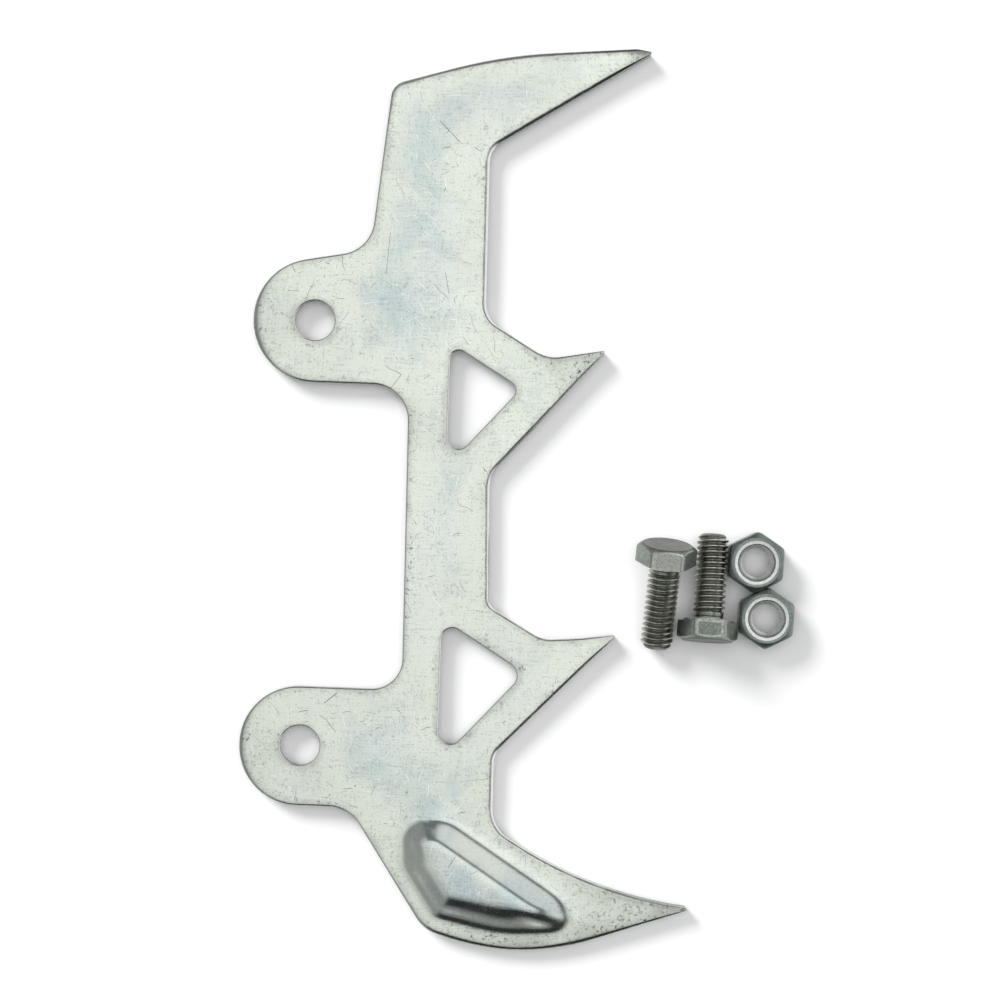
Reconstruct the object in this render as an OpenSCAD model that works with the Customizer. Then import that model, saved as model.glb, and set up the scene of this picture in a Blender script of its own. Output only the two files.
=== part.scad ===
// Bumper spike set for a chainsaw: a stamped sheet-steel plate with four teeth,
// and the two hex bolts and two hex nuts that fix it, laid out beside it.
// Millimetres, +Z up. The plate lies flat with its back face at z = 0.
// The origin is midway between the plate's mounting holes, which lie on the Y axis.

/* [Plate] */
// Thickness of the sheet
plate_t = 3; // [2.5:0.1:3.5]
// Distance between the mounting holes
hole_pitch = 76; // [75.5:0.1:76.5]
// Diameter of each mounting hole
hole_d = 7.2; // [6.4:0.1:8]
// Radius of the round ear about each mounting hole
ear_r = 11; // [10.5:0.1:11.3]
// Slope of the upper ear's top edge, in degrees
ear_slope = 10.5; // [8:0.5:12]

/* [Teeth] */
// How far each tooth's tip stands out from the line through the holes, top tooth first
tooth_1_reach = 58.9; // [57:0.1:60]
tooth_2_reach = 52.4; // [50:0.1:54]
tooth_3_reach = 56; // [53:0.1:57]
tooth_4_reach = 71.1; // [68:0.1:72]
// Radius of each tooth's tip
tip_r = 0.25; // [0.15:0.05:0.4]

/* [Rib] */
// Height of the formed rib above the plate's face
rib_h = 3; // [1.5:0.1:3.2]
// Depth of the hollow behind the rib
rib_hollow_h = 2.8; // [1:0.1:2.8]

/* [Fasteners] */
// Outer diameter of the thread
thread_d = 5.8; // [5.5:0.1:6]
// Length of a bolt under its head
bolt_len = 15.3; // [15:0.1:16]
// Width across flats of the bolt heads and nuts
hex_af = 9.65; // [9.6:0.05:10]
// Height of a bolt's head
head_h = 3.75; // [3.5:0.05:4.2]
// Height of a nut
nut_h = 5; // [4.4:0.1:5.4]

/* [Layout] */
// Tilt of the left bolt, whose head is propped on the right bolt's thread, in degrees
left_bolt_tilt = 14.4; // [14:0.1:16]

/* [Hidden] */
$fn = 64;

zinc = [0.80, 0.83, 0.80];
bright_steel = [0.58, 0.59, 0.56];

overlap = 1;        // how far a cutter runs past the face it cuts
outline_sag = 0.01; // how far an outline's chords may lie from its arcs
foot_share = 0.18;  // how much of the rib's side is its foot, which curves up from the plate
flank_end = 0.42;   // where the straight flank ends and the wide shoulder begins

hole_y = hole_pitch / 2;

// Fastener sizes that follow from the driving ones
thread_pitch = 1;
pitch_d = thread_d - 0.65 * thread_pitch;  // the neck has the thread's pitch diameter
minor_d = thread_d - 0.7 * thread_pitch;   // bore of a nut
neck_len = 1.4;
tip_chamfer = 0.8;
washer_face_h = 0.3;
face_d = 0.95 * hex_af;  // the round face inside a hex's 30 degree chamfer
nut_mouth_d = 7.6;       // the countersink at each end of a nut's thread

// ---- Outlines -------------------------------------------------------------

// An outline is a list of corners, [x, y, rounding radius], anticlockwise.
function unit(v) = v / norm(v);
function flat(v) = [v.x, v.y];

// The corner before or after corner i, going round
function neighbour(corners, i, step) = corners[(i + len(corners) + step) % len(corners)];

// How far an outline turns at corner i, in degrees
function corner_turn(corners, i) =
    let (
        back = unit(flat(neighbour(corners, i, -1)) - flat(corners[i])),
        ahead = unit(flat(neighbour(corners, i, 1)) - flat(corners[i]))
    )
    180 - acos(back * ahead);

// The points of the arc that rounds corner i, in equal steps
function corner_arc(corners, i, steps) =
    let (
        corner = flat(corners[i]),
        r = corners[i][2],
        back = unit(flat(neighbour(corners, i, -1)) - corner),
        ahead = unit(flat(neighbour(corners, i, 1)) - corner),
        turn = corner_turn(corners, i),
        side = sign(ahead.x * back.y - ahead.y * back.x),
        centre = corner + unit(back + ahead) * r / cos(turn / 2),
        start = corner + back * r * tan(turn / 2) - centre,
        first = atan2(start.y, start.x)
    )
    [for (k = [0:steps])
        let (angle = first + side * turn * k / steps)
        centre + r * [cos(angle), sin(angle)]];

// Steps that keep an arc's chords within the sag of it
function arc_steps(turn, r, sag) = max(2, ceil(turn / (2 * acos(1 - sag / max(r, 2 * sag)))));

function rounded(corners, sag) =
    [for (i = [0:len(corners) - 1])
        let (steps = arc_steps(corner_turn(corners, i), corners[i][2], sag))
        each corner_arc(corners, i, steps)];

// The upper ear's top edge is a line that touches the ear's circle
function ear_top(x) = hole_y + x * tan(ear_slope) + ear_r / cos(ear_slope);

plate_corners = [
    // first tooth: its tip, the long top edge and the upper left corner
    [tooth_1_reach, 88.0, tip_r],
    [55.8, 88.5, 3],
    [32.3, 86.6, 85],
    [12.4, 80.7, 3],
    // upper ear
    [9.5, ear_top(9.5), 6.5],
    [-ear_r, ear_top(-ear_r), ear_r],
    [-ear_r, hole_y - ear_r, ear_r],
    [17.2, hole_y - ear_r, 6.5],
    // lower ear
    [17.9, -hole_y + ear_r - 0.5, 5.5],
    [-ear_r + 0.2, -hole_y + ear_r - 0.5, ear_r - 0.5],
    [-ear_r + 0.2, -hole_y - ear_r + 0.3, ear_r - 0.5],
    [9.2, -hole_y - ear_r + 0.3, 7],
    // fourth tooth: the corner under the rib, the belly, the tip and the hollow upper edge
    [23.3, -70.1, 7],
    [40.1, -75.5, 43],
    [tooth_4_reach, -64.7, tip_r],
    [53.4, -62.6, 74],
    [34.9, -51.5, 6.4],
    // third tooth
    [34.8, -38.2, 4],
    [tooth_3_reach, -16.3, tip_r],
    [49.5, -17.2, 40],
    [42.9, -17.7, 5],
    [32.9, -11.9, 2.5],
    // second tooth
    [32.2, 11.5, 6],
    [45, 25.9, 80],
    [tooth_2_reach, 34.5, tip_r],
    [41.9, 32.6, 6],
    [30.5, 39.4, 5],
    [30.2, 69.8, 4.5]
];

upper_window_corners = [[24.4, 12.6, 2], [37.2, 27.1, 1.6], [24.4, 34.8, 1.6]];
lower_window_corners = [[24.6, -40.4, 2.2], [39.7, -23.7, 2.4], [24.6, -14.5, 2]];

// The rib's outline at its foot and round its flat top, corner for corner
rib_foot_corners = [
    [19.4, -49.6, 4.5],
    [18, -57.6, 5],
    [24.9, -67.8, 2.5],
    [38, -70.9, 30],
    [49.5, -69.5, 3],
    [50.6, -65.6, 2.6],
    [27.3, -50.7, 3.5]
];
rib_top_corners = [
    [23.6, -54.7, 0.35],
    [25.7, -59.2, 4],
    [28.1, -62.9, 0.8],
    [36, -64, 18],
    [40.4, -65.15, 0.1],
    [40.8, -65.05, 0.12],
    [24.3, -54.4, 0.3]
];

// ---- Plate ----------------------------------------------------------------

// Steps in each corner's arc, the same for the rib's foot and its top so that they join point by point
rib_steps = [6, 3, 5, 4, 5, 5, 5];

function stepped(corners, steps) =
    [for (i = [0:len(corners) - 1]) each corner_arc(corners, i, steps[i])];

rib_foot = stepped(rib_foot_corners, rib_steps);
rib_top = stepped(rib_top_corners, rib_steps);

// How high the rib's side has risen at a share u of the way from its foot to its flat top
function rib_rise(u) =
    let (
        foot = min(u, foot_share),
        flank = max(0, min(u, flank_end) - foot_share),
        shoulder = max(0, u - flank_end),
        whole = (1 + flank_end - foot_share) / 2
    )
    (foot * foot / (2 * foot_share) + flank + shoulder - shoulder * shoulder / (2 * (1 - flank_end)))
    / whole;

rib_levels = concat(
    [for (k = [0:3]) foot_share * k / 3],
    [for (k = [0:6]) flank_end + (1 - flank_end) * k / 6]
);

// A formed shape that starts a share of the way up the rib's side and ends at its flat top
module rib_form(from_share, base_z, foot_z, height) {
    n = len(rib_foot);
    rings = concat(
        [[from_share, base_z]],
        [for (u = rib_levels) [from_share + (1 - from_share) * u, foot_z + height * rib_rise(u)]]
    );
    points = [for (ring = rings, i = [0:n - 1])
        let (p = rib_foot[i] + (rib_top[i] - rib_foot[i]) * ring[0])
        [p.x, p.y, ring[1]]];
    sides = [for (k = [0:len(rings) - 2], i = [0:n - 1], half = [0, 1])
        let (a = k * n + i, b = k * n + (i + 1) % n)
        half == 0 ? [a, b + n, b] : [a, a + n, b + n]];
    polyhedron(
        points,
        concat([[for (i = [0:n - 1]) i]], sides, [[for (i = [n - 1:-1:0]) (len(rings) - 1) * n + i]])
    );
}

module blank() {
    linear_extrude(plate_t) difference() {
        polygon(rounded(plate_corners, outline_sag));
        polygon(rounded(upper_window_corners, outline_sag));
        polygon(rounded(lower_window_corners, outline_sag));
    }
}

module mounting_hole(y) {
    translate([0, y, -overlap]) cylinder(d = hole_d, h = plate_t + 2 * overlap);
}

module spike_plate() {
    color(zinc) difference() {
        union() {
            blank();
            rib_form(0, plate_t / 2, plate_t, rib_h);
        }
        rib_form(0.3, -overlap, 0, rib_hollow_h);
        for (side = [-1, 1]) mounting_hole(side * hole_y);
    }
}

// ---- Fasteners ------------------------------------------------------------

// A hex bar cut to a 30 degree chamfer at its top, and at its bottom if asked
module hex_blank(height, both_ends) {
    corner_r = hex_af / 2 / cos(30);
    chamfer_h = (corner_r - face_d / 2) * tan(30);
    intersection() {
        rotate([0, 0, 30]) cylinder(r = corner_r, h = height, $fn = 6);
        rotate_extrude() polygon([
            [0, 0],
            [both_ends ? face_d / 2 : corner_r, 0],
            [corner_r, both_ends ? chamfer_h : 0],
            [corner_r, height - chamfer_h],
            [face_d / 2, height],
            [0, height]
        ]);
    }
}

// A bolt along +Z, with the underside of its head at z = 0
module hex_bolt() {
    color(bright_steel) union() {
        rotate([180, 0, 0]) translate([0, 0, washer_face_h]) hex_blank(head_h - washer_face_h, false);
        rotate_extrude() polygon([
            [0, -head_h / 2],
            [face_d / 2, -head_h / 2],
            [face_d / 2, 0],
            [pitch_d / 2, 0],
            [pitch_d / 2, neck_len - 0.3],
            [thread_d / 2, neck_len],
            [thread_d / 2, bolt_len - tip_chamfer],
            [thread_d / 2 - tip_chamfer, bolt_len],
            [0, bolt_len]
        ]);
    }
}

// Cuts the mouth of a nut's thread, from below z = 0 up to its depth
module countersink(depth) {
    rotate_extrude() polygon([
        [0, -overlap],
        [nut_mouth_d / 2, -overlap],
        [nut_mouth_d / 2, 0],
        [minor_d / 2, depth],
        [0, depth]
    ]);
}

module hex_nut() {
    mouth_h = (nut_mouth_d - minor_d) / 2 * tan(30);  // the countersink is 120 degrees wide
    color(bright_steel) difference() {
        hex_blank(nut_h, true);
        translate([0, 0, -overlap]) cylinder(d = minor_d, h = nut_h + 2 * overlap);
        countersink(mouth_h);
        translate([0, 0, nut_h]) mirror([0, 0, 1]) countersink(mouth_h);
    }
}

// ---- Layout ---------------------------------------------------------------

thread_len = bolt_len - tip_chamfer;
// A bolt on a flat surface rests on a flat of its head and the rim of its tip
resting_tilt = atan((hex_af / 2 - thread_d / 2) / thread_len);

// Lays a bolt with its tip's rim at z = 0, the middle of its head's underside at x, y,
// and its shank towards heading
module laid_bolt(x, y, heading, tilt) {
    z = thread_len * sin(tilt) + thread_d / 2 * cos(tilt);
    translate([x, y, z]) rotate([0, 90 + tilt, heading]) hex_bolt();
}

module laid_nut(x, y, turn) {
    translate([x, y, 0]) rotate([0, 0, turn]) hex_nut();
}

module left_bolt() { laid_bolt(63.9, -3.3, -93.5, left_bolt_tilt); }
module right_bolt() { laid_bolt(72, -12.9, 87.8, resting_tilt); }
module upper_nut() { laid_nut(80.3, -2.4, -2.6); }
module lower_nut() { laid_nut(82.45, -12.3, -2); }

spike_plate();
left_bolt();
right_bolt();
upper_nut();
lower_nut();
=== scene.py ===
"""A chainsaw's bumper spike plate, and the two hex bolts and two hex nuts that fix it.

The plate is built again from its CAD solid as one fine mesh: the same outline, windows, holes and
rib, with the rounded edge that a die leaves, the rough band below it and a softly formed rib. The
bolts and nuts are built where their CAD solids lie, with helical threads.
"""

import math

import bmesh
import bpy
import numpy as np
from mathutils import Matrix, Vector, geometry
from mathutils.bvhtree import BVHTree


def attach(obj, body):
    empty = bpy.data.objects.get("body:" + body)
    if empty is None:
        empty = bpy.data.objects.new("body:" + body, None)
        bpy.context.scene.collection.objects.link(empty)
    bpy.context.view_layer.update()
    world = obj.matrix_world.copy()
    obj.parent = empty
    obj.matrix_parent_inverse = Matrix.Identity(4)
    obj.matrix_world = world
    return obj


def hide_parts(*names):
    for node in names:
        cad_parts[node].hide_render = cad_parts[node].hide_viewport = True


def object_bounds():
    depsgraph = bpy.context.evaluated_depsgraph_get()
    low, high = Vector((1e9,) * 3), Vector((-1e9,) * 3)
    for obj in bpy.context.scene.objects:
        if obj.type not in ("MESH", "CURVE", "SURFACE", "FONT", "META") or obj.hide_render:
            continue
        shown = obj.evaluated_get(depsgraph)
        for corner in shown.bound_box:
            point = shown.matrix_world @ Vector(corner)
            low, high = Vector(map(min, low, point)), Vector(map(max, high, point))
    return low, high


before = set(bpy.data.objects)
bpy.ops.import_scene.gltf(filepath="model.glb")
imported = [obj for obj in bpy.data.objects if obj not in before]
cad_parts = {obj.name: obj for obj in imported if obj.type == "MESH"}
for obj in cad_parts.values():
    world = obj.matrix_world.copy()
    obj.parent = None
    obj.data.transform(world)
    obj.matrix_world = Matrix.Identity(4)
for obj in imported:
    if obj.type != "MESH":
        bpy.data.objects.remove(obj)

MM = 0.001
JOIN_DIST = 0.0005 * MM
SHARP_ANGLE = math.radians(38)
cad_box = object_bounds()

# ---- Sizes, in millimetres ------------------------------------------------

# Plate
OUTLINE_STEP = 1.2      # longest stretch between points along an edge
GRID_STEP = 1.7         # between points across the flat face
RIB_GRID_STEP = 0.45    # the same, round the rib
OUTER_ROLL = 0.5        # radius of the rounded edge, round the outline
RIGHT_ROLL = 0.6        # added to it where the edge faces +X
# Where the rounded edge is wider: x, y, reach and what is added to its radius
WORN_SPOTS = [
    (-11, 36, 10, 1.6), (-11, -39, 10, 1.2), (29, -73, 14, 0.8), (50, -73, 12, 0.6),
    (34, 87, 24, 0.6), (59, 89, 8, 1.0), (13, 81, 7, 0.7),
]
# Where the plate is darker and more pitted, mostly near its edges: x, y, reach and how much
DARKENED_SPOTS = [
    (-11, 38, 8, 0.8), (-11, -40, 8, 0.7), (38, -76, 15, 1.0), (64, -66, 11, 1.0),
    (61, 89.5, 8, 1.0), (69, 87, 4, 0.9), (47, 33, 9, 0.9), (17, 20, 5, 0.4), (34, 8, 5, 0.4),
    (56, -71, 11, 1.0),
]
DARK_EDGE_Y = 87.0           # the far edge of the first tooth is blackened from here on
HOLE_R = 3.6
HOLE_AREA_SLACK = 3     # square millimetres, when the holes are told from the windows
WINDOW_ROLL = 0.35
HOLE_ROLL = 0.3
ROLL_ANGLE = math.radians(48)   # how steep the rounded edge gets before it breaks off to the wall
ROLL_STEPS = 5
BURR_BEVEL = 0.12       # the small bevel at the back face
FRACTURE_DEPTH = 0.05   # how far the torn band of the edge lies behind the sheared band
FRACTURE_SHARE = 0.45   # how high the torn band reaches, as a share of the thickness
GUARD = 0.12            # a flat strip inside the rounded edge, which keeps the shading of the face flat
RIB_SMOOTHING = 6       # passes that soften the rib's foot and shoulder
SOFT_SIDE_SMOOTHING = 26   # the same beyond SOFT_SIDE, where the rib's foot is softer
SOFT_SIDE = ((25.0, -52.0), (48.0, -66.9))   # a line up the middle of the rib's upper right side

# Fasteners, M6 coarse
PITCH = 1.0
THREAD_DEPTH = 0.6
NECK_LEN = 1.4
NECK_R = 2.62
CREST_R = 2.9           # the thread's outer radius
NECK_FILLET = 0.3
RUN_OUT = 0.5           # over which the thread rises from the neck
TIP_CHAMFER = 0.8
WASHER_FACE = 0.3
WASHER_SHARE = 0.94     # diameter of the washer face, as a share of the head's flats
FACE_SHARE = 0.93       # diameter of a hex's round end face, as a share of its flats
CORNER_R = 1.0          # rounding of a hex's upright corners
CORNER_POINTS = 6
FLAT_POINTS = 9
FLAT_BORDER = 0.3       # the paler border of a bolt head's flats
# A bolt's "detail" is the distance from its axis on the thread, END_MARK on its head's end face,
# which is painted dark as shade, and from DARK_MARK to BRIGHT_MARK on the head's sides, which are
# painted lighter or darker by which way they face
END_MARK = 8.0
DARK_MARK = 9.0
BRIGHT_MARK = 10.0
SIDE_MARK = 9.25        # a head's flats that don't face up, painted darker as shade
UP_FLAT_ANGLE = math.radians(31)   # how far round the head from straight up the upward flat reaches
NUT_MOUTH_R = 3.9
NUT_LIP_R = 3.4         # where the mouth's shallow lip, painted as a highlight, ends and its steep cone begins
NUT_LIP_FALL = 0.04
NUT_MAJOR_R = 3.05
NUT_MINOR_R = 2.55
# One turn of thread, from crest to crest: share of the pitch, and share of the depth cut away
THREAD_PROFILE = [
    (-0.10, 0.12), (-0.05, 0), (0.05, 0), (0.10, 0.12),
    (0.35, 0.9), (0.43, 1), (0.57, 1), (0.65, 0.9),
]

# ---- Colours and marks ----------------------------------------------------

COOL_ZINC = (0.580, 0.680, 0.658, 1)
BLUE_ZINC = (0.575, 0.662, 0.675, 1)
WARM_ZINC = (0.815, 0.862, 0.750, 1)
PALE_ZINC = (0.825, 0.880, 0.835, 1)
# Scratches that stand out on the plate: x, y, angle, length and width
LONG_SCRATCHES = [
    (22.9, 72.6, -45, 5.5, 0.16), (5.2, -29.4, 40, 3, 0.22), (14.5, 27, 55, 5, 0.12),
    (23.4, 45.5, -78, 4, 0.12), (12.7, 50.5, 86, 8, 0.1),
]
# How bright each bolt's upward flat is painted, as light falling on it, and how bright that flat's
# border is, between DARK_MARK and BRIGHT_MARK
LEFT_MARKS = (9.8, 10.0)
RIGHT_MARKS = (9.0, 9.45)

# ---- Camera and light -----------------------------------------------------

VIEW_CENTRE = Vector((34.23, 7.10, 0)) * MM
CAMERA_HEIGHT = 431.7 * MM
CAMERA_TURN = math.radians(2.07)   # turns the plate slightly to the left in the picture
SENSOR = 36.0
LENS = 86.4
# Strength, softness in degrees and direction
KEY_SUN = (3.5, 26, (1.45, -1.4, -1.15))
FILL_SUN = (0.8, 50, (0, 0, -1))


# ---- Mesh tools -----------------------------------------------------------

def new_piece(name, points, faces, body, node, material, values=None):
    """An object from points in metres that stands for a CAD node and moves with its body. values
    hold one number for each point, which the material reads under the name "detail"."""
    mesh = bpy.data.meshes.new(name)
    mesh.from_pydata([tuple(p) for p in points], [], faces)
    if values is not None:
        mesh.attributes.new("detail", "FLOAT", "POINT").data.foreach_set("value", values)
    bm = bmesh.new()
    bm.from_mesh(mesh)
    bmesh.ops.recalc_face_normals(bm, faces=bm.faces)
    bm.to_mesh(mesh)
    bm.free()
    mesh.shade_smooth()
    mesh.set_sharp_from_angle(angle=SHARP_ANGLE)
    mesh.materials.append(material)
    piece = bpy.data.objects.new(name, mesh)
    bpy.context.scene.collection.objects.link(piece)
    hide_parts(node)
    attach(piece, body)
    return piece


def cad_bmesh(node):
    """A CAD node's triangles, with its split points joined again."""
    bm = bmesh.new()
    bm.from_mesh(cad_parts[node].data)
    bmesh.ops.remove_doubles(bm, verts=bm.verts, dist=JOIN_DIST)
    return bm


# ---- Plate ----------------------------------------------------------------

def plate_outlines(bm):
    """The closed outlines of the plate's upright edges, in millimetres, the longest first."""
    following = {}
    for edge in bm.edges:
        if len(edge.link_faces) != 2 or max(v.co.z for v in edge.verts) > 1e-6:
            continue
        back, wall = sorted(edge.link_faces, key=lambda f: f.normal.z)
        if back.normal.z < -0.999 and abs(wall.normal.z) < 0.01:
            for v in edge.verts:
                following.setdefault(v.index, []).append(edge.other_vert(v).index)
    bm.verts.ensure_lookup_table()
    loops = []
    while following:
        here = min(following)
        came_from = None
        loop = []
        while here in following:
            loop.append(bm.verts[here].co.xy / MM)
            onward = [v for v in following.pop(here) if v != came_from]
            came_from, here = here, onward[0]
        loops.append(np.array([tuple(p) for p in loop]))
    loops.sort(key=lambda loop: -np.ptp(loop[:, 1]))
    return loops


def signed_area(loop):
    onward = np.roll(loop, -1, 0)
    return float((loop[:, 0] * onward[:, 1] - loop[:, 1] * onward[:, 0]).sum() / 2)


def split_long(loop, step):
    """The same outline, with points added so that none are further apart than step."""
    points = []
    for here, there in zip(loop, np.roll(loop, -1, 0)):
        parts = max(1, math.ceil(float(np.linalg.norm(there - here)) / step))
        points += [here + (there - here) * k / parts for k in range(parts)]
    return np.array(points)


def inward(loop):
    """At each point of an outline, the direction into the material and the stretch a mitre needs."""
    ahead = np.roll(loop, -1, 0) - loop
    ahead /= np.linalg.norm(ahead, axis=1)[:, None]
    behind = np.roll(ahead, 1, 0)
    normals = np.stack([-(ahead + behind)[:, 1], (ahead + behind)[:, 0]], 1)
    normals /= np.linalg.norm(normals, axis=1)[:, None]
    side = np.stack([-ahead[:, 1], ahead[:, 0]], 1)
    stretch = 1 / np.clip((normals * side).sum(1), 0.5, 1)
    return normals, stretch


def room(loop, normals, others):
    """The radius of the largest disc inside the material that touches each point of an outline."""
    radii = np.full(len(loop), 1e3)
    for point, normal, k in zip(loop, normals, range(len(loop))):
        away = others - point
        across = away @ normal
        square = (away ** 2).sum(1)
        ahead = (across > 1e-6) & (square > 1e-9)
        if ahead.any():
            radii[k] = (square[ahead] / (2 * across[ahead])).min()
    return radii


def soften(values, passes):
    for _ in range(passes):
        values = np.minimum(values, (np.roll(values, 1) + values + np.roll(values, -1)) / 3)
    return values


def nearest(points, others):
    """How far each point lies from the nearest of the others."""
    gaps = np.zeros(len(points))
    for start in range(0, len(points), 500):
        part = points[start:start + 500]
        gaps[start:start + 500] = np.sqrt(((part[:, None] - others[None]) ** 2).sum(2).min(1))
    return gaps


def hex_grid(low, high, step):
    rows = np.arange(low[1], high[1], step * 0.866)
    columns = np.arange(low[0], high[0], step)
    return np.array([(x + (r % 2) * step / 2, y) for r, y in enumerate(rows) for x in columns])


def formed_heights(tree, points, face, direction):
    """The height of the CAD solid at each point of one of its faces, in millimetres."""
    heights = []
    for x, y in points:
        hit = tree.ray_cast(Vector((x, y, face - direction * 50)) * MM, Vector((0, 0, direction)))[0]
        heights.append(face if hit is None else hit.z / MM)
    return np.array(heights)


def smooth_heights(heights, triangles, passes):
    """Evens out heights across the triangles that join them, each as many times as passes says."""
    ends = np.concatenate([triangles[:, [0, 1]], triangles[:, [1, 2]], triangles[:, [2, 0]]])
    ends = np.concatenate([ends, ends[:, ::-1]])
    weight = np.bincount(ends[:, 0], minlength=len(heights))
    for turn in range(passes.max()):
        mean = np.bincount(ends[:, 0], heights[ends[:, 1]], len(heights)) / np.maximum(weight, 1)
        heights = np.where(turn < passes, heights * 0.5 + mean * 0.5, heights)
    return heights


def build_plate(material):
    bm = cad_bmesh("spike_plate")
    tree = BVHTree.FromBMesh(bm)
    loops = plate_outlines(bm)
    bm.free()
    rib_zone = rib_box(tree)
    thickness = tree.ray_cast(Vector((0.024, 0.002, 0.05)), Vector((0, 0, -1)))[0].z / MM

    loops = [split_long(loop, OUTLINE_STEP) for loop in loops]
    loops = [loop if (signed_area(loop) > 0) == (n == 0) else loop[::-1] for n, loop in enumerate(loops)]
    everything = np.concatenate(loops)
    hole_area = math.pi * HOLE_R ** 2
    holes = [loop for loop in loops if abs(abs(signed_area(loop)) - hole_area) < HOLE_AREA_SLACK]

    points = []
    faces = []
    guards = []
    for n, loop in enumerate(loops):
        roll = OUTER_ROLL if n == 0 else WINDOW_ROLL
        if any(loop is hole for hole in holes):
            roll = HOLE_ROLL
        normals, stretch = inward(loop)
        if n == 0:
            roll = outer_roll(loop, normals)
        clear = room(loop, normals, everything)
        radii = soften(np.minimum(roll, 0.6 * clear), 12)
        width = radii * math.sin(ROLL_ANGLE)
        guard = width + soften(np.minimum(GUARD, 0.15 * clear), 12)
        bevel = np.minimum(BURR_BEVEL, radii * 0.3)
        torn = np.minimum(FRACTURE_DEPTH, radii * 0.1)
        rings = [(guard, np.zeros(len(loop))), (bevel, np.zeros(len(loop)))]
        rings.append((torn, bevel))
        rings.append((torn, np.full(len(loop), thickness * FRACTURE_SHARE)))
        rings.append((torn * 0, np.full(len(loop), thickness * FRACTURE_SHARE + 0.12)))
        for k in range(ROLL_STEPS + 1):
            angle = ROLL_ANGLE * (1 - k / ROLL_STEPS)
            rings.append((width - radii * math.sin(angle), thickness - radii * (1 - math.cos(angle))))
        rings.append((guard, np.full(len(loop), thickness)))
        first = len(points)
        count = len(loop)
        for depth, height in rings:
            flat = loop + normals * (depth * stretch)[:, None]
            points += [(x, y, z) for (x, y), z in zip(flat, height)]
        for ring in range(len(rings) - 1):
            for k in range(count):
                a = first + ring * count + k
                b = first + ring * count + (k + 1) % count
                faces.append((a, b, b + count, a + count))
        guards.append((first, first + (len(rings) - 1) * count, count))

    # The flat faces: one net of triangles between the innermost rings, used for back and front
    rim = np.concatenate([np.array(points[top:top + count])[:, :2] for _, top, count in guards])
    coarse = hex_grid(rim.min(0), rim.max(0), GRID_STEP)
    fine = hex_grid(rib_zone[0], rib_zone[1], RIB_GRID_STEP)
    in_zone = ((coarse > rib_zone[0]) & (coarse < rib_zone[1])).all(1)
    grid = np.concatenate([coarse[~in_zone], fine])
    grid = grid[nearest(grid, rim) > RIB_GRID_STEP * 0.8]
    borders = []
    start = 0
    for _, _, count in guards:
        border = list(range(start, start + count))
        borders.append(border if start == 0 else border[::-1])
        start += count
    net = geometry.delaunay_2d_cdt([Vector(p) for p in np.concatenate([rim, grid])], [], borders, 1, 1e-6)
    net_points = np.array([tuple(p) for p in net[0]])
    triangles = np.array([face for face, within in zip(net[2], net[5]) if list(within) == [0]])
    used = np.unique(triangles)
    renumber = np.full(len(net_points), -1)
    renumber[used] = np.arange(len(used))
    net_points = net_points[used]
    triangles = renumber[triangles]
    origin = [net[3][k][0] if net[3][k] else -1 for k in used]
    fixed = np.array([0 <= s < len(rim) for s in origin])
    (x0, y0), (x1, y1) = SOFT_SIDE
    beyond = (x1 - x0) * (net_points[:, 1] - y0) - (y1 - y0) * (net_points[:, 0] - x0) > 0
    passes = np.where(fixed, 0, np.where(beyond, SOFT_SIDE_SMOOTHING, RIB_SMOOTHING))

    back_of_rim = np.concatenate([np.arange(bottom, bottom + count) for bottom, _, count in guards])
    front_of_rim = np.concatenate([np.arange(top, top + count) for _, top, count in guards])
    for face, direction, ring, flip in ((0, 1, back_of_rim, False), (thickness, -1, front_of_rim, True)):
        heights = formed_heights(tree, net_points, face, direction)
        heights[fixed] = face
        heights = smooth_heights(heights, triangles, passes)
        index = []
        for k, (x, y) in enumerate(net_points):
            if fixed[k]:
                index.append(int(ring[origin[k]]))
            else:
                index.append(len(points))
                points.append((x, y, heights[k]))
        for a, b, c in triangles:
            faces.append((index[a], index[b], index[c]) if flip else (index[c], index[b], index[a]))

    points = np.array(points)
    edge_distance = nearest(points[:, :2], everything)
    return new_piece("spike_plate_sheet", points * MM, faces, "plate", "spike_plate",
                     material, edge_distance)


def outer_roll(loop, normals):
    """The radius of the rounded edge at each point of the outline: more where it faces +X, and more
    still at the worn spots."""
    roll = OUTER_ROLL + RIGHT_ROLL * np.clip(-normals[:, 0], 0, 1)
    for x, y, reach, extra in WORN_SPOTS:
        square = (loop[:, 0] - x) ** 2 + (loop[:, 1] - y) ** 2
        roll = roll + extra * np.exp(-square / (0.5 * reach ** 2))
    return roll


def rib_box(tree):
    """The corners, in plan, of a box round everything that stands above the plate's flat face."""
    xs, ys = np.meshgrid(np.arange(-12, 72, 0.8), np.arange(-76, 90, 0.8))
    points = np.stack([xs.ravel(), ys.ravel()], 1)
    heights = formed_heights(tree, points, 0, -1)
    flat = np.median(heights[heights > 0.5])
    raised = points[heights > flat + 0.05]
    return raised.min(0) - 1.5, raised.max(0) + 1.5


# ---- Hex pieces -----------------------------------------------------------

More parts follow.
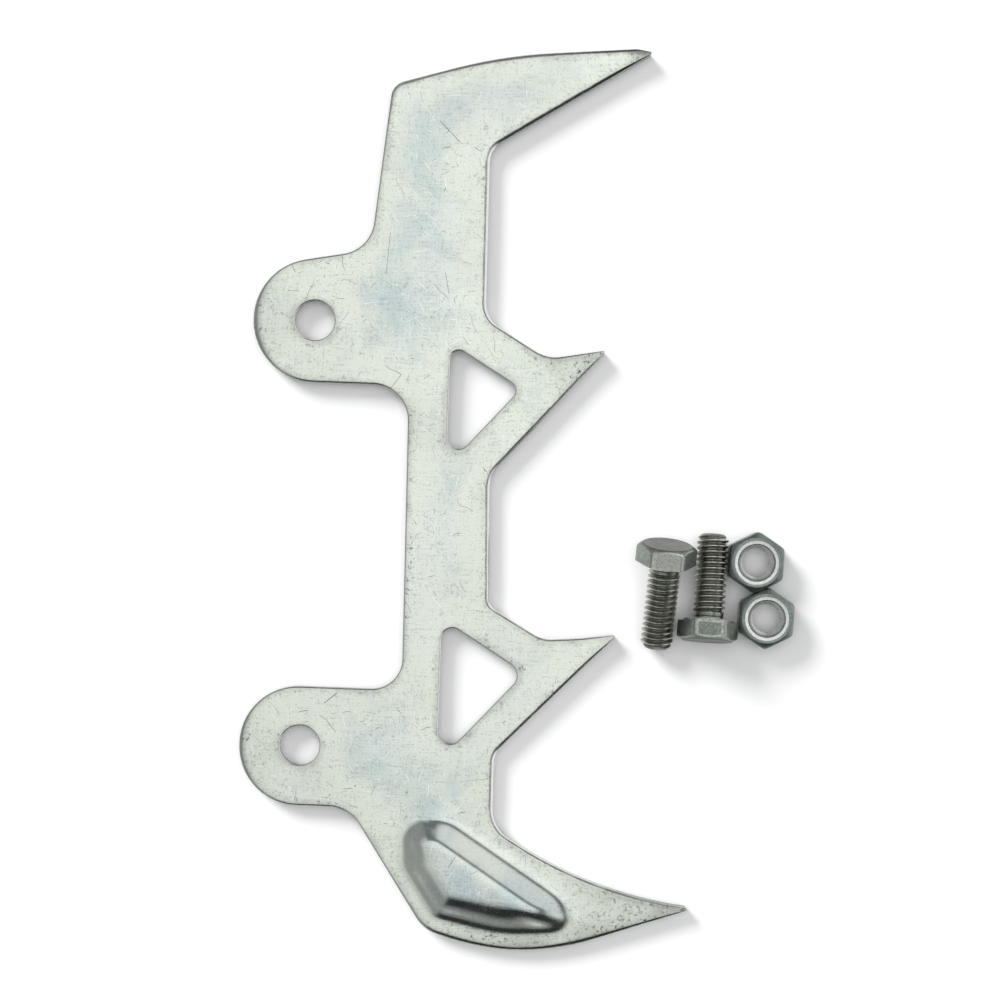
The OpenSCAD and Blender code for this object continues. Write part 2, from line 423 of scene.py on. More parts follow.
def hex_pose(node, upright):
    """Where a hex piece lies: a matrix with Z along its axis and X square to a flat, from the
    lowest point of the axis, and the piece's length and its distance across flats, in metres.
    A bolt's Z runs from its head to its tip."""
    bm = cad_bmesh(node)
    bmesh.ops.triangulate(bm, faces=bm.faces)
    normals = np.array([tuple(f.normal) for f in bm.faces])
    areas = np.array([f.calc_area() for f in bm.faces])
    middles = np.array([tuple(f.calc_center_median()) for f in bm.faces])
    corners = np.array([tuple(v.co) for v in bm.verts])
    bm.free()
    axis = np.array([0.0, 0.0, 1.0])
    if not upright:
        centre = (middles * areas[:, None]).sum(0) / areas.sum()
        spread = (middles - centre) * np.sqrt(areas)[:, None]
        axis = np.linalg.svd(spread, full_matrices=False)[2][0]
        ends = np.abs(normals @ axis) > 0.995
        axis = (normals * (areas * np.sign(normals @ axis) * ends)[:, None]).sum(0)
        axis /= np.linalg.norm(axis)
    sides = (np.abs(normals @ axis) < 0.02) & (areas > 0.2 * areas[np.abs(normals @ axis) < 0.02].max())
    along = corners @ axis
    tip = corners[along > along.max() - 1e-6].mean(0)
    tail = corners[along < along.min() + 1e-6].mean(0)
    centre = (tip + tail) / 2
    reach = ((middles - centre) * normals).sum(1)
    flats = sides & (reach > 0.9 * reach[sides].max())
    if not upright and ((middles[flats] - centre) @ axis).mean() > 0:
        axis = -axis
        tip, tail = tail, tip
    best = normals[flats][np.argmax(normals[flats] @ np.array([0.1, 0.0, 1.0]))]
    across = 2 * float(reach[flats].max())
    side = np.cross(axis, best)
    matrix = Matrix([list(row) for row in np.stack([best, side, axis], 1)]).to_4x4()
    matrix.translation = Vector(tail)
    return matrix, float(np.linalg.norm(tip - tail)), across


def hex_outline(across):
    """The rounded hexagon's points, in millimetres, anticlockwise, first flat square to +X."""
    apothem = across / 2
    points = []
    for k in range(6):
        middle = math.radians(30 + 60 * k)
        centre = (apothem - CORNER_R) / math.cos(math.radians(30))
        for j in range(CORNER_POINTS):
            angle = middle + math.radians(60) * (j / (CORNER_POINTS - 1) - 0.5)
            points.append((centre * math.cos(middle) + CORNER_R * math.cos(angle),
                           centre * math.sin(middle) + CORNER_R * math.sin(angle)))
        ahead = math.radians(60 * (k + 1))
        half = (apothem - CORNER_R) * math.tan(math.radians(30))
        for j in range(1, FLAT_POINTS + 1):
            slide = half * (2 * j / (FLAT_POINTS + 1) - 1)
            points.append((apothem * math.cos(ahead) - slide * math.sin(ahead),
                           apothem * math.sin(ahead) + slide * math.cos(ahead)))
    return np.array(points)


class Lathe:
    """A closed surface built ring by ring, all rings with points at the same angles."""

    def __init__(self, outline):
        self.outline = outline
        self.angles = np.unwrap(np.arctan2(outline[:, 1], outline[:, 0]))
        self.directions = np.stack([np.cos(self.angles), np.sin(self.angles)], 1)
        self.count = len(outline)
        self.points = []
        self.faces = []
        self.last = None

    def add_points(self, flat, heights):
        first = len(self.points)
        heights = np.broadcast_to(heights, self.count)
        self.points += [(x, y, z) for (x, y), z in zip(flat, heights)]
        return list(range(first, first + self.count))

    def join(self, ring):
        if self.last is not None:
            for k in range(self.count):
                onward = (k + 1) % self.count
                self.faces.append((self.last[k], self.last[onward], ring[onward], ring[k]))
        self.last = ring
        return ring

    def circle(self, radius, height):
        return self.join(self.add_points(self.directions * radius, height))

    def hexagon(self, heights, shrink=0.0):
        reach = np.linalg.norm(self.outline, axis=1)
        return self.join(self.add_points(self.outline * ((reach - shrink) / reach)[:, None], heights))

    def cap(self, height, ring, outward):
        centre = len(self.points)
        self.points.append((0, 0, height))
        for k in range(self.count):
            edge = (ring[k], ring[(k + 1) % self.count])
            self.faces.append((*edge, centre) if outward else (*edge[::-1], centre))

    def thread(self, low, high, crest_radius, cut, limit):
        """A right-hand helical thread from the last ring, at height low, to a new ring at height high.
        limit(radius, height) trims it to whatever the ends need."""
        start = self.last
        end = self.add_points(self.directions * limit(crest_radius, high), high)
        turn = (self.angles - self.angles[0]) / (2 * math.pi)
        per_pitch = len(THREAD_PROFILE)
        pitches = math.ceil((high - low) / PITCH) + 3
        rows = []
        for row in range(pitches * per_pitch):
            share, depth = THREAD_PROFILE[row % per_pitch]
            heights = low + (row // per_pitch - 2 + share + turn) * PITCH
            rows.append(self.thread_row(heights, crest_radius - cut * depth, low, high, start, end, limit))
        for row in range(len(rows) - 1):
            for k in range(self.count):
                a, b = rows[row][k], rows[row + 1][k]
                if k + 1 < self.count:
                    c, d = rows[row][k + 1], rows[row + 1][k + 1]
                else:
                    c = rows[row + per_pitch][0] if row + per_pitch < len(rows) else end[0]
                    d = rows[row + 1 + per_pitch][0] if row + 1 + per_pitch < len(rows) else end[0]
                corner = list(dict.fromkeys((a, c, d, b)))
                if len(corner) > 2:
                    self.faces.append(tuple(corner))
        self.last = end
        return end

    def thread_row(self, heights, radius, low, high, start, end, limit):
        ring = []
        for k, height in enumerate(heights):
            if height <= low + 1e-4:
                ring.append(start[k])
            elif height >= high - 1e-4:
                ring.append(end[k])
            else:
                r = limit(radius, height)
                ring.append(len(self.points))
                self.points.append((*(self.directions[k] * r), height))
        return ring


def hex_chamfer(lathe, across):
    """How far a 30 degree chamfer has fallen at each point of a hex's outline."""
    reach = np.linalg.norm(lathe.outline, axis=1)
    return np.maximum(reach - across / 2 * FACE_SHARE, 0) * math.tan(math.radians(30))


def build_bolt(name, node, body, material, flat_mark, border_mark):
    """flat_mark says how bright the head's upward flat is painted, as light falling on it, and border_mark
    how bright that flat's border is.
    """
    matrix, total, across = hex_pose(node, upright=False)
    total /= MM
    across /= MM
    crest = thread_radius(node, matrix) / MM
    head = total - bolt_shank(node, matrix, across) / MM
    lathe = Lathe(hex_outline(across))
    face_r = across / 2 * FACE_SHARE
    end = lathe.circle(face_r - 0.5, 0.0)
    lathe.cap(0.0, end, outward=False)
    lathe.circle(face_r - 0.12, 0.0)
    lathe.circle(face_r, 0.05)
    fall = hex_chamfer(lathe, across)
    lathe.hexagon(fall + 0.05, shrink=0.08)
    lathe.hexagon(fall + 0.14)
    lathe.hexagon(fall + 0.14 + FLAT_BORDER)
    inner_rings = [lathe.hexagon(fall + 0.2 + FLAT_BORDER)]
    inner_rings.append(lathe.hexagon(head - WASHER_FACE - 0.16 - FLAT_BORDER))
    lathe.hexagon(head - WASHER_FACE - 0.1 - FLAT_BORDER)
    lathe.hexagon(head - WASHER_FACE - 0.1)
    lathe.hexagon(head - WASHER_FACE, shrink=0.1)
    washer = across / 2 * WASHER_SHARE
    lathe.circle(washer, head - WASHER_FACE)
    lathe.circle(washer, head - 0.06)
    lathe.circle(washer - 0.06, head)
    for k in range(5):
        angle = math.pi / 2 * k / 4
        lathe.circle(NECK_R + NECK_FILLET * (1 - math.sin(angle)),
                     head + NECK_FILLET * (1 - math.cos(angle)))
    low = head + NECK_LEN - RUN_OUT / 2
    lathe.circle(NECK_R, low)

    def limit(radius, height):
        rise = min(1.0, max(0.0, (height - low) / RUN_OUT))
        radius = NECK_R + (radius - NECK_R) * rise * rise * (3 - 2 * rise)
        return min(radius, crest - max(0.0, height - (total - TIP_CHAMFER)))

    lathe.thread(low, total, crest, THREAD_DEPTH, limit)
    inner = lathe.circle(crest - TIP_CHAMFER - 0.4, total)
    lathe.cap(total, inner, outward=True)
    values = [border_mark if z < low else math.hypot(x, y) for x, y, z in lathe.points]
    # The end face is painted dark: painted shade
    for n, (x, y, z) in enumerate(lathe.points):
        if z < 0.2 and math.hypot(x, y) < face_r + 0.05:
            values[n] = END_MARK
    for ring in inner_rings:
        for k, n in enumerate(ring):
            if k % (CORNER_POINTS + FLAT_POINTS) >= CORNER_POINTS:
                values[n] = flat_mark
    # Flats that don't face up are painted darker: painted shade
    up = matrix.to_3x3().inverted() @ Vector((0, 0, 1))
    for n, (x, y, z) in enumerate(lathe.points):
        towards_up = (x * up.x + y * up.y) / max(math.hypot(x, y) * math.hypot(up.x, up.y), 1e-9)
        if 0.2 <= z < head - WASHER_FACE and towards_up < math.cos(UP_FLAT_ANGLE):
            values[n] = SIDE_MARK
    points = [matrix @ (Vector(p) * MM) for p in lathe.points]
    return new_piece(name, points, lathe.faces, body, node, material, values)


def build_nut(name, node, body, material):
    matrix, height, across = hex_pose(node, upright=True)
    height /= MM
    across /= MM
    lathe = Lathe(hex_outline(across))
    face_r = across / 2 * FACE_SHARE
    fall = hex_chamfer(lathe, across)
    first = lathe.circle(NUT_MOUTH_R + 0.06, 0.0)
    lathe.circle(face_r - 0.1, 0.0)
    lathe.circle(face_r, 0.04)
    lathe.hexagon(fall + 0.04, shrink=0.06)
    lathe.hexagon(fall + 0.12)
    lathe.hexagon(height - fall - 0.12)
    lathe.hexagon(height - fall - 0.04, shrink=0.06)
    lathe.circle(face_r, height - 0.04)
    lathe.circle(face_r - 0.1, height)
    lathe.circle(NUT_MOUTH_R + 0.06, height)
    mouth = lathe.circle(NUT_MOUTH_R, height - 0.02)

    # The thread is built from the bottom up and joined to the mouth at each end
    lathe.last = first
    lathe.circle(NUT_MOUTH_R, 0.02)
    lathe.circle(NUT_LIP_R, NUT_LIP_FALL)
    lip = lathe.add_points(lathe.directions * NUT_LIP_R, height - NUT_LIP_FALL)

    def limit(radius, z):
        depth = min(z, height - z) - NUT_LIP_FALL
        return max(radius, NUT_LIP_R - depth * math.tan(math.radians(40)))

    ring = lathe.thread(NUT_LIP_FALL, height - NUT_LIP_FALL, NUT_MINOR_R, NUT_MINOR_R - NUT_MAJOR_R, limit)
    merge = dict(zip(ring, lip))
    lathe.last = lip
    lathe.join(mouth)
    faces = [tuple(merge.get(p, p) for p in face) for face in lathe.faces]
    used = sorted({p for face in faces for p in face})
    renumber = {p: n for n, p in enumerate(used)}
    faces = [tuple(renumber[p] for p in face) for face in faces]
    local = [lathe.points[p] for p in used]
    from_axis = [math.hypot(x, y) for x, y, z in local]
    points = [matrix @ (Vector(p) * MM) for p in local]
    return new_piece(name, points, faces, body, node, material, from_axis)


def local_corners(node, matrix):
    inverse = matrix.inverted()
    return np.array([tuple(inverse @ v.co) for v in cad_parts[node].data.vertices])


def thread_radius(node, matrix):
    """The outer radius of a bolt's thread, read at the middle of its length."""
    corners = local_corners(node, matrix)
    length = corners[:, 2].max()
    tip_half = corners[corners[:, 2] > 0.5 * length]
    return float(np.hypot(tip_half[:, 0], tip_half[:, 1]).max())


def bolt_shank(node, matrix, across):
    """The length of a bolt from the underside of its head to its tip."""
    corners = local_corners(node, matrix)
    reach = np.hypot(corners[:, 0], corners[:, 1])
    return float(corners[:, 2].max() - corners[reach > 0.45 * across * MM][:, 2].max())


# ---- Materials ------------------------------------------------------------

class Nodes:
    """A material's node tree, built by calls that take numbers, colours or other nodes' outputs."""

    def __init__(self, name):
        self.material = bpy.data.materials.new(name)
        self.material.use_nodes = True
        self.tree = self.material.node_tree
        self.shader = self.tree.nodes["Principled BSDF"]
        self.place = self.add("ShaderNodeTexCoord").outputs["Object"]

    def add(self, kind, **inputs):
        node = self.tree.nodes.new(kind)
        for key, value in inputs.items():
            self.feed(node.inputs[key.replace("_", " ")], value)
        return node

    def feed(self, socket, value):
        if isinstance(value, bpy.types.NodeSocket):
            self.tree.links.new(value, socket)
        else:
            socket.default_value = value

    def shade(self, **inputs):
        for key, value in inputs.items():
            self.feed(self.shader.inputs[key.replace("_", " ")], value)

    def detail(self):
        """The number that new_piece stored at each point."""
        node = self.add("ShaderNodeAttribute")
        node.attribute_name = "detail"
        return node.outputs["Fac"]

    def stretched(self, scale, turn=0.0):
        """Coordinates scaled along each axis, after a turn about Z, in degrees."""
        turned = self.add("ShaderNodeMapping", Vector=self.place, Rotation=(0, 0, math.radians(turn)))
        return self.add("ShaderNodeMapping", Vector=turned.outputs[0], Scale=scale).outputs[0]

    def noise(self, vector, scale, detail=3.0, roughness=0.5, distortion=0.0):
        node = self.add("ShaderNodeTexNoise", Vector=vector, Scale=scale, Detail=detail)
        self.feed(node.inputs["Roughness"], roughness)
        self.feed(node.inputs["Distortion"], distortion)
        return node.outputs["Fac"]

    def ramp(self, value, low, high, out_low=0.0, out_high=1.0):
        """A smooth step from out_low to out_high as the value goes from low to high."""
        node = self.add("ShaderNodeMapRange", Value=value)
        node.interpolation_type = "SMOOTHSTEP"
        for key, number in zip(("From Min", "From Max", "To Min", "To Max"), (low, high, out_low, out_high)):
            node.inputs[key].default_value = number
        return node.outputs[0]

    def maths(self, operation, a, b=0.0):
        node = self.add("ShaderNodeMath")
        node.operation = operation
        self.feed(node.inputs[0], a)
        self.feed(node.inputs[1], b)
        return node.outputs[0]

    def times(self, a, b):
        return self.maths("MULTIPLY", a, b)

    def plus(self, a, b):
        return self.maths("ADD", a, b)

    def minus(self, a, b):
        return self.maths("SUBTRACT", a, b)

    def most(self, a, b):
        return self.maths("MAXIMUM", a, b)

    def mix(self, share, a, b):
        node = self.add("ShaderNodeMix")
        node.data_type = "RGBA"
        self.feed(node.inputs[0], share)
        self.feed(node.inputs[6], a)
        self.feed(node.inputs[7], b)
        return node.outputs[2]

    def split(self, vector):
        return self.add("ShaderNodeSeparateXYZ", Vector=vector).outputs

    def bump(self, height, distance, strength=1.0):
        return self.add("ShaderNodeBump", Height=height, Strength=strength, Distance=distance).outputs[0]

    def segment(self, offset, angle, half_length, half_width):
        """1 on a straight scratch through the origin of offset, at an angle in radians, else 0."""
        x, y, _ = self.split(offset)
        c = self.maths("COSINE", angle)
        s = self.maths("SINE", angle)
        along = self.maths("ABSOLUTE", self.plus(self.times(x, c), self.times(y, s)))
        across = self.maths("ABSOLUTE", self.minus(self.times(y, c), self.times(x, s)))
        left = self.ramp(self.minus(along, half_length), -0.12, 0.0, 1.0, 0.0)
        return self.times(left, self.ramp(across, half_width * 0.4, half_width, 1.0, 0.0))

    def short_scratches(self, spacing, width, share, shift, bend=0.12):
        """Straight scratches scattered over the XY plane, each at its own angle and length: one in
        each cell of a random honeycomb. Spacing and width are in millimetres."""
        scale = 1 / (spacing * MM)
        moved = self.add("ShaderNodeMapping", Vector=self.place, Location=(shift, shift * 0.7, 0),
                         Scale=(scale, scale, 0)).outputs[0]
        waver = self.add("ShaderNodeTexNoise", Vector=moved, Scale=1.6, Detail=1.0).outputs["Color"]
        cells = self.add("ShaderNodeTexVoronoi", Vector=moved, Scale=1.0)
        cells.voronoi_dimensions = "2D"
        offset = self.add("ShaderNodeVectorMath")
        offset.operation = "SUBTRACT"
        self.feed(offset.inputs[0], moved)
        self.feed(offset.inputs[1], cells.outputs["Position"])
        bent = self.add("ShaderNodeVectorMath")
        bent.operation = "MULTIPLY_ADD"
        self.feed(bent.inputs[0], waver)
        self.feed(bent.inputs[1], (bend, bend, 0))
        self.feed(bent.inputs[2], offset.outputs[0])
        chance, size, turn = self.split(cells.outputs["Color"])
        angle = self.times(turn, 2 * math.pi)
        mark = self.segment(bent.outputs[0], angle, self.ramp(size, 0, 1, 0.12, 0.5), width / spacing / 2)
        return self.times(mark, self.ramp(chance, share - 0.02, share, 1.0, 0.0))

    def spot(self, x, y, reach, amount):
        """A soft round patch of the part's plan, in millimetres."""
        moved = self.add("ShaderNodeMapping", Vector=self.place, Location=(-x / reach, -y / reach, 0),
                         Scale=(1 / (reach * MM), 1 / (reach * MM), 0)).outputs[0]
        length = self.add("ShaderNodeVectorMath")
        length.operation = "LENGTH"
        self.feed(length.inputs[0], moved)
        return self.ramp(length.outputs["Value"], 0.2, 1.3, amount, 0.0)

    def single_scratch(self, x, y, angle, length, width):
        """One scratch at a point of the part, in millimetres and degrees."""
        size = length / 2
        scale = 1 / (size * MM)
        moved = self.add("ShaderNodeMapping", Vector=self.place, Location=(-x / size, -y / size, 0),
                         Scale=(scale, scale, 0)).outputs[0]
        return self.segment(moved, math.radians(angle), 1.0, width / size / 2)


def grey(value, tint=(1.0, 1.0, 1.0)):
    return (*(value * t for t in tint), 1.0)


def plate_material():
    """Bright zinc over rolled sheet: cool in the middle and yellow-green towards its edges and
    holes, brushed along X, crossed by fine scratches, pitted and darkened along its edges, with painted
    shade on its slopes and upright walls and a painted reflection on edges that face +X."""
    m = Nodes("zinc_plate")
    edge = m.detail()
    cloud = m.noise(m.place, 42.0, 3.0, 0.55, 0.4)
    patch = m.noise(m.place, 110.0, 4.0, 0.6, 0.5)
    right, _, lean = m.split(m.add("ShaderNodeTexCoord").outputs["Normal"])
    formed = m.ramp(lean, 0.995, 0.93)

    # Plating colour
    colour = m.mix(m.ramp(cloud, 0.3, 0.7), COOL_ZINC, BLUE_ZINC)
    warmth = m.plus(m.ramp(edge, 13.0, 0.5, 0.12, 1.0), m.ramp(patch, 0.34, 0.68, -0.3, 0.28))
    colour = m.mix(m.ramp(warmth, 0.0, 1.0), colour, WARM_ZINC)
    colour = m.mix(m.ramp(m.noise(m.place, 70.0, 3.0, 0.6), 0.5, 0.7, 0, 0.6), colour, PALE_ZINC)

    # Rolling lines along X, fainter lines along Y, and grit, each in patches of its own
    rolled = m.noise(m.stretched((260, 3600, 400)), 1.0, 3.0, 0.65)
    crossed = m.noise(m.stretched((3300, 330, 400), 3), 1.0, 3.0, 0.65)
    grit = m.noise(m.place, 2900.0, 3.0, 0.7)
    patches = m.noise(m.place, 330.0, 2.0, 0.6)
    lines = m.times(m.minus(rolled, 0.5), m.ramp(patches, 0.35, 0.6, 0.25, 1.0))
    lines = m.plus(lines, m.times(m.minus(crossed, 0.5), m.ramp(patches, 0.4, 0.65, 0.75, 0.15)))
    grain = m.plus(m.times(lines, 0.7), m.times(m.minus(grit, 0.5), 0.75))
    grain = m.times(grain, m.ramp(formed, 0, 1, 1.0, 0.6))
    colour = m.mix(m.ramp(grain, -0.02, -0.16, 0, 0.42), colour, grey(0.30, (0.97, 1.0, 0.98)))
    colour = m.mix(m.ramp(grain, 0.03, 0.16, 0, 0.5), colour, grey(0.86, (1.0, 1.0, 0.97)))

    # Scratches, dark and bright
    flat = m.ramp(formed, 0.1, 0.6, 1.0, 0.15)
    dark = m.most(m.short_scratches(4.6, 0.15, 0.4, 3.1, 0.3), m.short_scratches(2.3, 0.13, 0.45, 17.3, 0.6))
    bright = m.most(m.short_scratches(3.1, 0.14, 0.6, 41.9), m.short_scratches(1.7, 0.12, 0.4, 9.7, 0.4))
    dark = m.times(m.times(dark, m.ramp(patch, 0.34, 0.6, 0.15, 0.75)), flat)
    for mark in LONG_SCRATCHES:
        dark = m.most(dark, m.times(m.single_scratch(*mark), 0.85))
    colour = m.mix(m.times(bright, m.times(flat, 0.85)), colour, grey(0.98))
    colour = m.mix(m.times(dark, 0.9), colour, grey(0.18, (1.0, 1.02, 0.98)))

    # Pits and darker patches, mostly along the edges, and painted shade on the slopes and upright walls
    fringe = m.ramp(m.plus(edge, m.times(m.minus(patch, 0.5), 5.0)), 2.6, 0.4)
    spot_darkening = 0.0
    for x, y, reach, amount in DARKENED_SPOTS:
        spot_darkening = m.most(spot_darkening, m.spot(x, y, reach, amount))
    pits = m.ramp(m.noise(m.place, 1500.0, 4.0, 0.75, 0.6), 0.55, 0.66)
    pit_share = m.plus(m.times(fringe, 0.5), m.ramp(m.noise(m.place, 75.0, 2.0), 0.58, 0.72, 0.04, 0.5))
    pits = m.times(pits, m.plus(pit_share, m.times(spot_darkening, 0.7)))
    # Darker along every edge, and more so round the darkened spots near the edges
    edge_darkening = m.ramp(m.plus(edge, m.times(m.minus(patch, 0.5), 3.0)), 1.5, 0.1, 0.0, 0.25)
    edge_darkening = m.plus(edge_darkening, m.times(m.ramp(patch, 0.36, 0.62, 0.1, 0.5),
                                    m.times(spot_darkening, m.ramp(edge, 5.0, 0.5))))
    colour = m.mix(edge_darkening, colour, grey(0.18, (0.96, 1.0, 0.93)))
    colour = m.mix(m.times(pits, 0.8), colour, grey(0.10, (1.0, 0.98, 0.86)))
    # Sloping faces, the rib's sides and the rounded edges, are painted darker: painted shade
    colour = m.mix(m.times(formed, 0.22), colour, grey(0.42, (0.95, 1.0, 0.98)))
    # Upright walls are painted darker: painted shade for the shadowed floor they mirror, and partly the
    # duller torn band
    colour = m.mix(m.ramp(lean, 0.5, 0.2, 0.0, 0.65), colour, grey(0.22, (0.96, 1.0, 0.96)))

    # A darker band painted along the far edge of the first tooth
    far = m.plus(m.split(m.place)[1], m.times(m.minus(patches, 0.5), 2.0 * MM))
    far_edge_darkening = m.ramp(far, DARK_EDGE_Y * MM, (DARK_EDGE_Y + 1.2) * MM, 0.0, 0.72)
    colour = m.mix(far_edge_darkening, colour, grey(0.13, (0.96, 1.0, 0.97)))

    # Painted reflection where a rounded edge faces +X: a broken dark line at its start and a bright band
    # beyond, standing in for the room's dark gap and bright right wall mirrored there
    rim = m.ramp(edge, 1.9, 1.5)
    mirrored_dark_line = m.times(m.ramp(right, 0.07, 0.15), m.ramp(right, 0.30, 0.20))
    mirrored_dark_line = m.times(m.times(mirrored_dark_line, rim), m.ramp(patches, 0.35, 0.55, 0.35, 0.8))
    colour = m.mix(m.times(m.times(m.ramp(right, 0.26, 0.36), rim), 0.6), colour, grey(0.98))
    colour = m.mix(mirrored_dark_line, colour, grey(0.16, (0.98, 1.0, 0.96)))

    rough = m.plus(m.ramp(cloud, 0.3, 0.7, 0.26, 0.33), m.times(grain, 0.25))
    rough = m.plus(m.minus(rough, m.times(formed, 0.12)), m.times(m.most(pits, dark), 0.2))
    relief = m.minus(m.plus(m.times(grain, 1.2), m.times(bright, 0.3)), m.most(pits, m.times(dark, 0.8)))
    relief = m.times(relief, m.ramp(formed, 0, 1, 1.0, 0.4))
    m.shade(Base_Color=colour, Metallic=1.0, Roughness=rough, Normal=m.bump(relief, 0.00002, 0.6))
    return m.material


def bolt_material():
    """Dull plated steel, slightly olive, with painted shade in the thread's hollows, painted highlights on
    its crests, and the head's flats and end face painted lighter or darker by which way they face.
    """
    m = Nodes("bolt_steel")
    from_axis = m.detail()
    cloud = m.noise(m.place, 260.0, 4.0, 0.6, 0.3)
    colour = m.mix(m.ramp(cloud, 0.35, 0.65), (0.24, 0.252, 0.208, 1), (0.34, 0.360, 0.312, 1))
    # The head's flats and end face: painted light and shade by which way each faces
    head = m.mix(m.ramp(from_axis, DARK_MARK, BRIGHT_MARK), (0.20, 0.225, 0.20, 1), (0.76, 0.79, 0.73, 1))
    head = m.mix(m.ramp(from_axis, END_MARK + 0.1, END_MARK + 0.6), (0.082, 0.081, 0.062, 1), head)
    colour = m.mix(m.ramp(from_axis, 6.0, 7.0), colour, head)
    # Painted highlights on the thread's crests
    crest = m.ramp(from_axis, CREST_R - 0.25, CREST_R - 0.04)
    on_thread = m.ramp(from_axis, CREST_R + 0.12, CREST_R + 0.2, 1.0, 0.0)
    crest = m.times(crest, on_thread)
    colour = m.mix(m.times(crest, 0.8), colour, (0.80, 0.79, 0.72, 1))
    # Painted shade in the thread's hollows
    colour = m.mix(m.ramp(from_axis, CREST_R - 0.35, CREST_R - 0.6, 0, 0.6), colour, (0.13, 0.135, 0.11, 1))
    grit = m.noise(m.place, 2800.0, 3.0, 0.7)
    smooth_end = m.times(m.ramp(from_axis, 7.0, 8.0),
                         m.ramp(from_axis, END_MARK + 0.1, END_MARK + 0.6, 0.75, 0.0))
    rough_share = m.minus(1.0, smooth_end)
    colour = m.mix(m.times(m.ramp(grit, 0.52, 0.66, 0, 0.55), rough_share), colour,
                   grey(0.12, (1.0, 1.02, 0.9)))
    colour = m.mix(m.times(m.ramp(grit, 0.46, 0.34, 0, 0.4), rough_share), colour,
                   grey(0.48, (1.0, 1.02, 0.96)))
    pits = m.ramp(m.noise(m.place, 1300.0, 4.0, 0.75, 0.5), 0.60, 0.68)
    colour = m.mix(m.times(pits, 0.6), colour, grey(0.07))
    rough = m.ramp(m.plus(m.times(grit, 0.5), m.times(cloud, 0.5)), 0.3, 0.7, 0.24, 0.42)
    rough = m.minus(rough, m.times(crest, 0.08))
    relief = m.minus(m.times(grit, 0.6), pits)
    m.shade(Base_Color=colour, Metallic=1.0, Roughness=rough, Normal=m.bump(relief, 0.00003, 0.7))
    return m.material


def nut_material():
    """Dull plated steel, slightly green, with a painted highlight on the shallow lip round each mouth and
    painted light on the threads inside.
    """
    m = Nodes("nut_steel")
    from_axis = m.detail()
    cloud = m.noise(m.place, 300.0, 4.0, 0.6, 0.3)
    colour = m.mix(m.ramp(cloud, 0.35, 0.65), (0.195, 0.225, 0.205, 1), (0.270, 0.305, 0.280, 1))
    grit = m.noise(m.place, 2800.0, 3.0, 0.7)
    colour = m.mix(m.ramp(grit, 0.5, 0.66, 0, 0.4), colour, grey(0.10, (0.95, 1.02, 1.0)))
    marks = m.most(m.short_scratches(1.6, 0.12, 0.5, 5.3), m.short_scratches(2.6, 0.12, 0.5, 27.1))
    colour = m.mix(m.times(marks, 0.35), colour, grey(0.42))
    # The threads inside are painted pale: painted light that lifts the shade in the bore
    colour = m.mix(m.ramp(from_axis, NUT_LIP_R - 0.1, NUT_LIP_R - 0.35, 0, 0.9), colour, grey(0.86))
    # A painted highlight on the shallow lip round each mouth
    lip = m.ramp(from_axis, NUT_LIP_R - 0.12, NUT_LIP_R)
    lip = m.times(lip, m.ramp(from_axis, NUT_MOUTH_R + 0.05, NUT_MOUTH_R, 0, 1))
    colour = m.mix(m.times(lip, m.ramp(grit, 0.3, 0.62, 1.0, 0.75)), colour, (0.80, 0.82, 0.80, 1))
    rough = m.ramp(grit, 0.3, 0.7, 0.24, 0.42)
    relief = m.minus(m.times(grit, 0.6), m.times(marks, 0.5))
    m.shade(Base_Color=colour, Metallic=1.0, Roughness=rough, Normal=m.bump(relief, 0.00002, 0.6))
    return m.material


# ---- Camera, floor and light ----------------------------------------------

def add_camera():
    data = bpy.data.cameras.new("camera")
    data.sensor_width = SENSOR
    data.lens = LENS
    data.clip_start = 0.01
    camera = bpy.data.objects.new("camera", data)
    camera.location = VIEW_CENTRE + Vector((0, 0, CAMERA_HEIGHT))
    camera.rotation_euler = (0, 0, CAMERA_TURN)
    bpy.context.scene.collection.objects.link(camera)
    bpy.context.scene.camera = camera


def add_floor():
    bm = bmesh.new()
    bmesh.ops.create_grid(bm, x_segments=1, y_segments=1, size=3.0)
    mesh = bpy.data.meshes.new("floor")
    bm.to_mesh(mesh)
    bm.free()
    floor = bpy.data.objects.new("floor", mesh)
    floor.location = (*VIEW_CENTRE.xy, cad_box[0][2] - 0.00002)
    m = Nodes("floor")
    tone = m.ramp(m.noise(m.place, 8.0, 3.0), 0.3, 0.7, 0.80, 0.82)
    pale = m.mix(tone, (0.0, 0.0, 0.0, 1), (1.0, 1.0, 1.0, 1))
    m.shade(Base_Color=pale, Roughness=0.9, Specular_IOR_Level=0.1)
    mesh.materials.append(m.material)
    bpy.context.scene.collection.objects.link(floor)


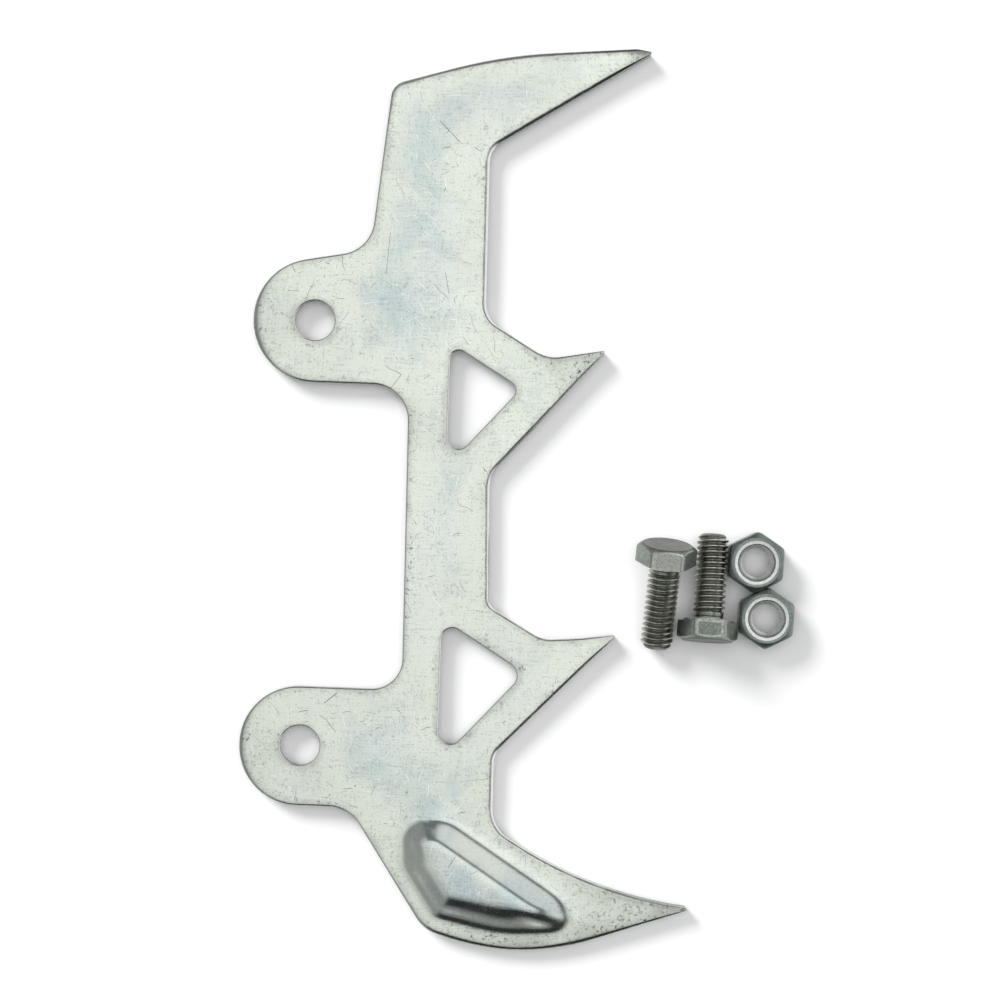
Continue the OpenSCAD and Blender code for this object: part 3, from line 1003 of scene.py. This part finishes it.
def add_world():
    """A plain room seen in the metal: a bright ceiling, a bright wall to the right, a grey one to
    the left, and darkness between them."""
    world = bpy.data.worlds.new("studio")
    bpy.context.scene.world = world
    world.use_nodes = True
    tree = world.node_tree
    background = tree.nodes["Background"]
    direction = tree.nodes.new("ShaderNodeTexCoord").outputs["Generated"]

    def step(vector, low, high, out_low, out_high):
        dot = tree.nodes.new("ShaderNodeVectorMath")
        dot.operation = "DOT_PRODUCT"
        tree.links.new(direction, dot.inputs[0])
        dot.inputs[1].default_value = vector
        node = tree.nodes.new("ShaderNodeMapRange")
        node.interpolation_type = "SMOOTHSTEP"
        tree.links.new(dot.outputs["Value"], node.inputs["Value"])
        for key, number in zip(("From Min", "From Max", "To Min", "To Max"), (low, high, out_low, out_high)):
            node.inputs[key].default_value = number
        return node.outputs[0]

    def combine(operation, a, b):
        node = tree.nodes.new("ShaderNodeMath")
        node.operation = operation
        tree.links.new(a, node.inputs[0])
        if isinstance(b, bpy.types.NodeSocket):
            tree.links.new(b, node.inputs[1])
        else:
            node.inputs[1].default_value = b
        return node.outputs[0]

    ceiling = step((0, 0, 1), 0.80, 0.89, 0.0, 1.0)
    ceiling = combine("MULTIPLY", ceiling, step((1, 0.3, 0), -0.25, 0.32, 0.86, 1.28))
    ceiling = combine("MULTIPLY", ceiling, step((0, 1, 0), -0.26, -0.05, 0.84, 1.0))
    right = step((0.92, 0.39, 0), 0.30, 0.62, 0.0, 0.95)
    right = combine("MULTIPLY", right, step((0, 0, 1), 0.64, 0.77, 1.0, 0.0))
    left = step((-1, 0.1, 0), 0.10, 0.45, 0.0, 1.0)
    left = combine("MULTIPLY", left, step((0, 0, 1), 0.45, 0.93, 0.36, 0.85))
    far = step((0, 1, 0), 0.25, 0.6, 0.0, 0.22)
    left = combine("MAXIMUM", left, far)
    low_down = step((0, 0, 1), 0.10, 0.34, 0.30, 0.03)
    light = combine("MAXIMUM", combine("MAXIMUM", ceiling, right), combine("MAXIMUM", left, low_down))
    background.inputs["Color"].default_value = (0.985, 0.99, 1.0, 1)
    tree.links.new(light, background.inputs["Strength"])


def add_sun(name, strength, softness, direction):
    """A sun whose light shapes the shadows but isn't mirrored in the metal."""
    data = bpy.data.lights.new(name, "SUN")
    data.energy = strength
    data.angle = math.radians(softness)
    sun = bpy.data.objects.new(name, data)
    sun.rotation_euler = Vector(direction).to_track_quat("-Z", "Y").to_euler()
    sun.visible_glossy = False
    bpy.context.scene.collection.objects.link(sun)


# ---- The object -----------------------------------------------------------

build_plate(plate_material())
steel = bolt_material()
build_bolt("bolt_left_piece", "left_bolt", "bolt_left", steel, *LEFT_MARKS)
build_bolt("bolt_right_piece", "right_bolt", "bolt_right", steel, *RIGHT_MARKS)
nut_steel = nut_material()
build_nut("nut_upper_piece", "upper_nut", "nut_upper", nut_steel)
build_nut("nut_lower_piece", "lower_nut", "nut_lower", nut_steel)

add_floor()
add_world()
add_sun("key", *KEY_SUN)
add_sun("fill", *FILL_SUN)
add_camera()
bpy.context.scene.view_settings.view_transform = "Standard"
